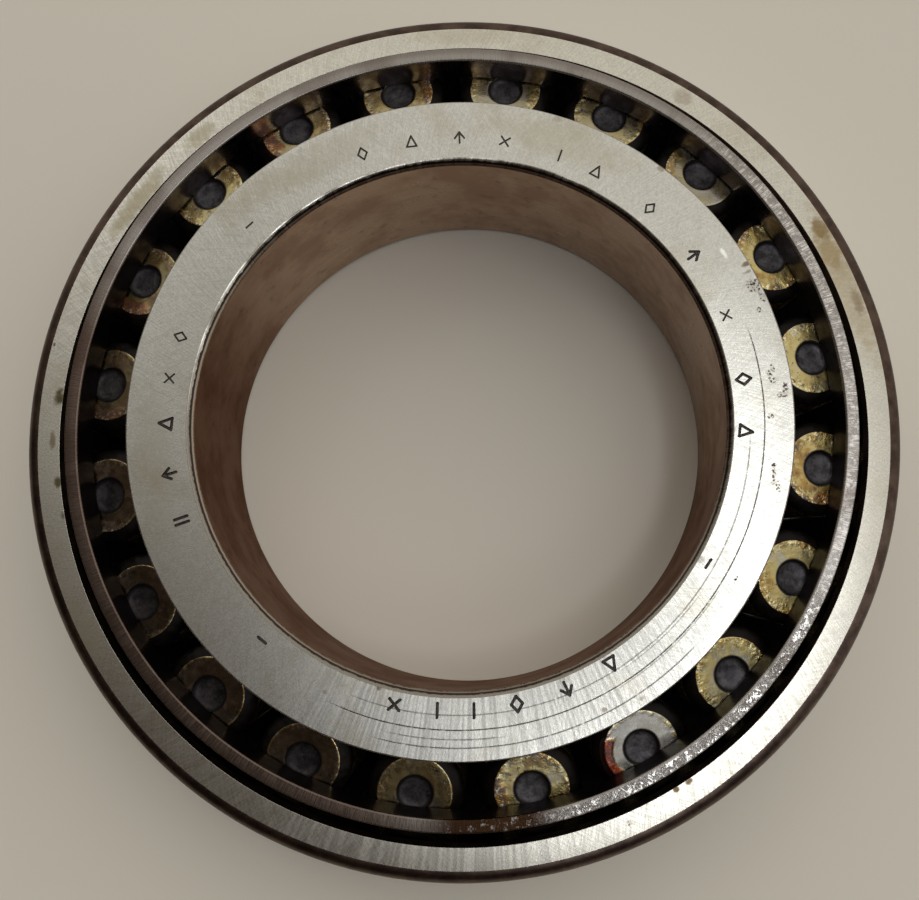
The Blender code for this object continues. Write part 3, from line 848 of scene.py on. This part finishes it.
def stroke(start, end, half_width, depth, material):
    """Cutter for one stamped stroke on the cone's back face: a blunt, sloping groove."""
    along = (end - start).normalized()
    across = Vector((-along.y, along.x))
    hull = bmesh.new()
    for level, spread in STROKE_LEVELS:
        reach = half_width * spread
        for step in range(STROKE_SIDES):
            turn = 2 * math.pi * step / STROKE_SIDES
            tip = end if math.cos(turn) >= 0 else start
            point = tip + along * reach * math.cos(turn) + across * reach * math.sin(turn)
            hull.verts.new((point.x, point.y, CONE_FACE + level * depth))
    bmesh.ops.convex_hull(hull, input=hull.verts)
    return add_cutter("stroke", hull, material)


def mark_strokes(material):
    """All stamped strokes, each mark set a little askew as by hand."""
    hand = random.Random(MARK_SEED)
    strokes = []
    for azimuth, radius, glyph, (size, half_width, depth) in MARKS:
        outward, clockwise = [direction.to_2d() for direction in compass(azimuth)]
        askew = math.radians(hand.uniform(-MARK_ASKEW, MARK_ASKEW))
        right = clockwise * math.cos(askew) + outward * math.sin(askew)
        up = outward * math.cos(askew) - clockwise * math.sin(askew)
        for x0, y0, x1, y1 in GLYPHS[glyph]:
            start = outward * radius * MM + (right * x0 + up * y0) * size
            end = outward * radius * MM + (right * x1 + up * y1) * size
            strokes.append(stroke(start, end, half_width, depth, material))
    return strokes


def make_cone():
    """Inner ring with its stamped back face."""
    face, side, race, bore, lip = range(5)
    brown = (0.14, 0.085, 0.04)
    yellow = (0.40, 0.36, 0.24)
    stains = [
        (61.2, 35.4, 0.25, 0.6, 0.8, brown), (62.6, 35.0, 0.2, 0.5, 0.6, brown),
        (38.2, 35.5, 0.4, 0.3, 0.5, brown), (17.5, 35.3, 0.5, 0.4, 0.3, brown),
        (57.5, 33.95, 0.6, 0.24, 1.0, (0.97, 0.97, 0.94)),
        (147.0, 34.9, 0.3, 0.25, 0.4, brown), (153.5, 34.0, 0.3, 0.25, 0.5, brown),
        (205.5, 31.8, 0.3, 0.2, 0.5, brown), (196.0, 29.4, 0.3, 0.3, 0.8, brown),
        (262.0, 33.0, 8.0, 2.0, 0.25, yellow), (330.0, 33.0, 9.0, 2.0, 0.3, yellow),
        (20.0, 33.0, 9.0, 2.0, 0.3, yellow)]
    pits = [
        (65.6, 35.2, 0.9, 0.55), (67.6, 35.3, 0.7, 0.3), (65.2, 34.6, 0.6, 0.4), (69.8, 34.4, 0.4, 0.3),
        (80.6, 34.0, 0.45, 0.25), (81.8, 33.5, 0.5, 0.3), (83.0, 33.9, 0.3, 0.4), (84.8, 35.0, 0.9, 0.3),
        (85.8, 34.6, 0.3, 0.5), (98.9, 33.7, 0.45, 0.3), (100.3, 33.9, 0.6, 0.2),
        (101.6, 34.1, 0.35, 0.35), (102.4, 34.6, 0.4, 0.25), (120.6, 33.7, 0.5, 0.2),
        (89.6, 33.2, 0.3, 0.3)]
    # Scribed lines: radius, azimuth of the middle, half length in degrees, strength
    scribes = [
        (34.35, 164.0, 27.0, 0.75), (33.5, 182.0, 7.0, 0.6), (32.55, 138.0, 62.0, 0.95),
        (32.75, 137.0, 10.0, 0.4), (31.05, 147.0, 50.0, 0.55), (31.35, 137.0, 7.0, 0.4)]
    materials = [
        ground_face("cone_face_steel", (0.58, 0.57, 0.53), (172.0, 22.0, 26.0), stains, pits, scribes),
        turned_steel("cone_edge_steel", (0.42, 0.40, 0.37), (0.16, 0.12, 0.10), 0.28),
        # Painted shade: the raceway, seen only in the dark gaps between rollers, is painted near-black.
        turned_steel("cone_raceway_steel", (0.020, 0.016, 0.014), (0.012, 0.008, 0.006), 0.50),
        # Bore: one sector of it carries painted shade.
        turned_steel(
            "bore_steel", (0.50, 0.345, 0.235), (0.34, 0.205, 0.13), 0.30, painted_shade_sector=(195.0, 80.0, 50.0)),
        worn_corner("bore_lip_steel"),
    ]
    ring = turned("inner_ring", cone_corners(face, side, race, bore, lip), RING_SIDES, materials)
    cut(ring, mark_strokes(stamped_metal("stamped_steel")))
    weight_normals(ring)
    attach(ring, "cone")
    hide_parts("cone")


# ---------------------------------------------------------------- cage and rollers

def pocket_cutter(joint, material):
    """A roller's frustum grown by the pocket gap, set where that roller lies."""
    top = ROLLER_LENGTH / 2 + POCKET_GAP
    solid = bmesh.new()
    large = ROLLER_RADIUS + POCKET_GAP * (1 + math.tan(ROLLER_TAPER))
    small = large - 2 * top * math.tan(ROLLER_TAPER)
    bmesh.ops.create_cone(
        solid, cap_ends=True, segments=POCKET_SIDES, radius1=small, radius2=large, depth=2 * top)
    solid.transform(roller_axes(joint))
    return add_cutter("pocket", solid, material)


def make_cage():
    """Pressed cage: conical wall with pockets, flange turned in at the small end."""
    wall, edge, pocket = range(3)
    materials = [
        oily_sheet("cage_wall_steel"), sheared_edge("cage_rim_steel"), pocket_painted_shade("cage_pocket_painted_shade")]
    rim_inner = on_cone(CAGE_ANGLE, CAGE_RIM)
    rim_outer = on_cone(CAGE_ANGLE, CAGE_RIM, SHEET)
    fold = where_cone_meets_end(CAGE_ANGLE, 0.0, SMALL_END, -FLANGE_GAP)
    bend = where_cone_meets_end(CAGE_ANGLE, SHEET, SMALL_END, -FLANGE_GAP - SHEET)
    flange_top = on_end_plane(SMALL_END, FLANGE_RADIUS, -FLANGE_GAP)
    flange_foot = on_end_plane(SMALL_END, FLANGE_RADIUS, -FLANGE_GAP - SHEET)
    corners = [
        (rim_outer, CAGE_RIM, 0.14 * MM, edge, wall),
        (*bend, FLANGE_BEND, wall, wall),
        (FLANGE_RADIUS, flange_foot, BROKEN_EDGE, edge, edge),
        (FLANGE_RADIUS, flange_top, BROKEN_EDGE, edge, wall),
        (*fold, ROOT_EDGE, wall, wall),
        (rim_inner, CAGE_RIM, 0.28 * MM, edge, edge),
    ]
    cage = turned("roller_cage", corners, CAGE_SIDES, materials)
    cut(cage, [pocket_cutter(joint, materials[pocket]) for joint in ROLLER_JOINTS])
    weight_normals(cage)
    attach(cage, "cage")
    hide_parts("cage")


# Oil on each roller's large end, clockwise from the first: how much all over, where it is
# thickest (degrees about the roller's own axis from its outermost point, positive towards
# the roller before it), how thick there, how red that grease is, and how much painted shade darkens it
OIL = [
    (0.20, -80.0, 0.45, 0.0, 0.25), (0.24, 100.0, 0.10, 0.0, 0.25), (0.18, 130.0, 0.60, 0.0, 0.35),
    (0.44, 150.0, 0.20, 0.0, 0.0), (0.32, -140.0, 0.25, 0.0, 0.0), (0.50, -60.0, 0.75, 0.3, 0.0),
    (0.36, -75.0, 0.45, 0.0, 0.0), (0.26, 80.0, 0.35, 0.0, 0.0), (0.06, -94.0, 1.00, 1.0, 0.0),
    (0.40, -70.0, 0.85, 0.15, 0.0), (0.36, 180.0, 0.25, 0.0, 0.6), (0.45, -30.0, 0.30, 0.0, 0.88),
    (0.45, 90.0, 0.25, 0.0, 0.9), (0.50, -90.0, 0.20, 0.0, 0.9), (0.50, 60.0, 0.85, 0.0, 0.86),
    (0.50, 90.0, 0.95, 0.15, 0.72), (0.50, 85.0, 0.80, 0.35, 0.5), (0.34, -100.0, 0.30, 0.0, 0.1),
    (0.50, 80.0, 0.80, 0.35, 0.35), (0.40, -85.0, 0.80, 0.2, 0.30),
]


def smooth(value, low, high):
    """Smooth step, as in the materials."""
    share = min(1.0, max(0.0, (value - low) / (high - low)))
    return share * share * (3.0 - 2.0 * share)


def roller_outline():
    """Outline of a roller about its own axis: (radius, height, part)."""
    top = ROLLER_LENGTH / 2
    points = [(0.0, top - DIMPLE_DEPTH, "dimple")]
    for share in (0.25, 0.5, 0.75, 1.0):
        depth = DIMPLE_DEPTH * (1.0 - DIMPLE_RISE * share ** 2)
        points.append((DIMPLE_FLOOR * share, top - depth, "dimple"))
    for inset, share, part in DIMPLE_WALL:
        points.append((DIMPLE_RADIUS - inset, top - DIMPLE_DEPTH * share, part))
    for step in range(1, END_STEPS + 1):
        points.append((DIMPLE_RADIUS + (FLAT_RADIUS - DIMPLE_RADIUS) * step / END_STEPS, top, "end"))
    for step in (1, 2, 3):
        turn = LIP_TURN * step / 3
        points.append((FLAT_RADIUS + LIP * math.sin(turn), top - LIP * (1 - math.cos(turn)), "end"))
    start, fall = points[-1][0], top - points[-1][1]
    for step in range(1, CORNER_STEPS + 1):
        turn = LIP_TURN + (math.pi / 2 - LIP_TURN) * step / CORNER_STEPS
        share = (math.sin(turn) - math.sin(LIP_TURN)) / (1.0 - math.sin(LIP_TURN))
        drop = 1.0 - math.cos(turn) / math.cos(LIP_TURN)
        radius = start + (ROLLER_RADIUS - start) * share
        points.append((radius, top - fall - (END_CORNER - fall) * drop, "corner"))
    small = ROLLER_RADIUS - (ROLLER_LENGTH - SMALL_CORNER) * math.tan(ROLLER_TAPER)
    for step in range(1, SIDE_STEPS):
        low = -END_CORNER - step / SIDE_STEPS * (ROLLER_LENGTH - END_CORNER - SMALL_CORNER)
        points.append((ROLLER_RADIUS + low * math.tan(ROLLER_TAPER), top + low, "side"))
    for step in range(SMALL_CORNER_STEPS + 1):
        turn = math.pi / 2 * step / SMALL_CORNER_STEPS
        radius = small - SMALL_CORNER * (1 - math.cos(turn))
        points.append((radius, SMALL_CORNER * (1 - math.sin(turn)) - top, "side"))
    points.extend((radius, depth - top, part) for radius, depth, part in SMALL_RECESS)
    return points


def oil_at(index, radius, turn):
    """Thickness share and redness of the oil at one point of a roller's large end."""
    film, where, thick, red = OIL[index][:4]
    offset = Vector((3.1 * index, 1.7 * index, 0.0))
    spot = Vector((math.cos(turn), math.sin(turn), 0.0)) * radius / MM
    broad = noise.noise(spot * 0.45 + offset)
    fine = noise.noise(spot * 1.5 + offset * 2.0)
    edge = smooth(radius, 3.2 * MM, 3.9 * MM)
    base = film * (1.0 + 0.7 * broad + 0.4 * fine)
    base += 0.28 * edge * smooth(0.5 * broad + fine, -0.35, 0.3)
    away = math.acos(max(-1.0, min(1.0, math.cos(turn - math.radians(where)))))
    half_width = math.radians(34.0 + 12.0 * fine)
    inside = (3.0 + 0.3 * broad if red > 0.5 else 2.6 + 0.6 * broad) * MM
    patch = smooth(away, half_width + 0.28, half_width) * smooth(radius, inside, inside + 0.35 * MM)
    patch *= smooth(radius, 4.45 * MM, 4.2 * MM)
    return min(1.0, max(0.0, base, thick * patch)), red * patch


def make_roller(index, joint, metal, dimple, corner):
    """One roller, with its film of oil and the grease caught in its end's corner."""
    outline = roller_outline()
    top = ROLLER_LENGTH / 2
    axes = roller_axes(joint)
    inner = [point for point in outline if point[0] > 0.0]
    vertices = [(0.0, 0.0, outline[0][1])]
    # This roller's share of painted shade, from the last column of OIL.
    painted_shade = OIL[index][-1]
    values = [(0.0, 0.0, 0.0, painted_shade)]
    for side in range(ROLLER_SIDES):
        turn = 2 * math.pi * side / ROLLER_SIDES
        for radius, height, part in inner:
            film, red = oil_at(index, radius, turn) if part in ("end", "corner") else (0.3, 0.0)
            values.append((film, red, radius / MM, painted_shade))
            fill = smooth(film, 0.6, 1.0) * 0.15 + red * 0.3
            if part == "corner":
                radius += (ROLLER_RADIUS - radius) * fill
                height += (top - height) * fill
            elif part == "end":
                height += 0.04 * MM * max(film - 0.15, red)
            vertices.append((radius * math.cos(turn), radius * math.sin(turn), height))
    vertices.append((0.0, 0.0, outline[-1][1]))
    values.append((0.0, 0.0, 0.0, painted_shade))
    count = len(inner)
    last = len(vertices) - 1
    faces = []
    for side in range(ROLLER_SIDES):
        here = 1 + side * count
        there = 1 + (side + 1) % ROLLER_SIDES * count
        faces.append((0, here, there))
        faces.extend(
            (here + step, here + step + 1, there + step + 1, there + step) for step in range(count - 1))
        faces.append((here + count - 1, last, there + count - 1))
    mesh = bpy.data.meshes.new(joint["child"])
    mesh.from_pydata([axes @ Vector(vertex) for vertex in vertices], [], faces)
    for column, name in enumerate(("film", "redness", "reach", "painted_shade")):
        layer = mesh.attributes.new(name, "FLOAT", "POINT")
        layer.data.foreach_set("value", [value[column] for value in values])
    finish_mesh(mesh, [metal, dimple, corner])
    ground_surface, dimple_surface, corner_surface = range(3)
    parts = ["dimple"] + [point[2] for point in inner] + ["dimple"]
    surfaces = []
    for part, following in zip(parts, parts[1:]):
        if part == following == "dimple":
            surfaces.append(dimple_surface)
        else:
            surfaces.append(corner_surface if following == "corner" else ground_surface)
    mesh.polygons.foreach_set("material_index", surfaces * ROLLER_SIDES)
    roller = add_object(joint["child"] + "_oiled", mesh)
    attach(roller, joint["child"])
    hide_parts(joint["child"])


def make_rollers():
    """All twenty rollers, sharing three materials."""
    materials = [
        roller_steel("roller_steel"), dimple_metal("dimple_steel"), roller_corner("roller_corner")]
    for index, joint in enumerate(ROLLER_JOINTS):
        make_roller(index, joint, *materials)


# ---------------------------------------------------------------- stage

FLOOR_SIZE = 12.0
FLOOR_GAP = 0.03 * MM
DOME_LEAN = (0.45, 0.89, 0.0)
DOME_FADE = (-0.27, 0.33)
DOME_DARK = (0.055, 0.041, 0.032)
DOME_BRIGHT = (0.82, 0.79, 0.72)
BACKDROP = (0.60, 0.57, 0.51)
LAMP_COLOR = (0.94, 0.97, 1.0)
LAMP_HEIGHT = 0.80
# Lamps: name, x, y, turn in degrees, size, radiance
LAMPS = [
    ("right_box", 0.175, 0.030, 0.0, (0.070, 0.22), 5.6),
    ("front_box", 0.141, -0.136, 30.0, (0.150, 0.080), 9.0),
    ("fill_box", -0.01, -0.095, 0.0, (0.17, 0.07), 0.9),
    ("low_box", 0.22, -0.44, 0.0, (0.42, 0.30), 0.85),
    ("left_box", -0.36, 0.38, 0.0, (0.16, 0.18), 0.9),
]
CAMERA_PLACE = (7.094 * MM, -21.408 * MM, 143.161 * MM)
CAMERA_TURN = (8.327, 0.636, 0.109)
CAMERA_LENS = 45.04
CAMERA_SHIFT = (-0.0581, 0.0030)


def make_floor():
    """Plain pale floor just under the cup."""
    bpy.ops.mesh.primitive_plane_add(size=FLOOR_SIZE, location=(0.0, 0.0, -FLOOR_GAP))
    floor = bpy.context.object
    floor.name = "floor"
    floor.data.materials.append(plain_floor())


def make_lamp(name, x, y, turn, size, radiance):
    """Soft rectangular lamp facing straight down."""
    data = bpy.data.lights.new(name, "AREA")
    data.shape = "RECTANGLE"
    data.size, data.size_y = size
    data.energy = radiance * math.pi * size[0] * size[1]
    data.color = LAMP_COLOR
    lamp = add_object(name, data)
    lamp.location = (x, y, LAMP_HEIGHT)
    lamp.rotation_euler.z = math.radians(turn)


def make_room():
    """Soft dome of light, brighter at the back and the right; the camera sees a plain backdrop."""
    graph = Graph(bpy.data.worlds.new("room"))
    bpy.context.scene.world = graph.owner
    lean = graph.vector("DOT_PRODUCT", graph.coordinates["Generated"], DOME_LEAN)
    dome = graph.mix(graph.ramp(lean, *DOME_FADE), DOME_DARK, DOME_BRIGHT)
    seen = graph.add("ShaderNodeLightPath").outputs["Is Camera Ray"]
    graph.put(graph.tree.nodes["Background"].inputs["Color"], graph.mix(seen, dome, BACKDROP))


def make_light():
    """Bright boxes over the right side and a faint one in front, under the soft dome."""
    for lamp in LAMPS:
        make_lamp(*lamp)
    make_room()


def make_camera():
    """Hand-held close view from above, a little in front of the axis and right of it."""
    data = bpy.data.cameras.new("camera")
    data.sensor_width = 36.0
    data.lens = CAMERA_LENS
    data.shift_x, data.shift_y = CAMERA_SHIFT
    data.clip_start = 0.01
    camera = add_object("camera", data)
    camera.location = CAMERA_PLACE
    camera.rotation_euler = [math.radians(turn) for turn in CAMERA_TURN]
    bpy.context.scene.camera = camera
    bpy.context.scene.view_settings.view_transform = "Standard"


make_camera()
make_cup()
make_cone()
make_cage()
make_rollers()
make_floor()
make_light()
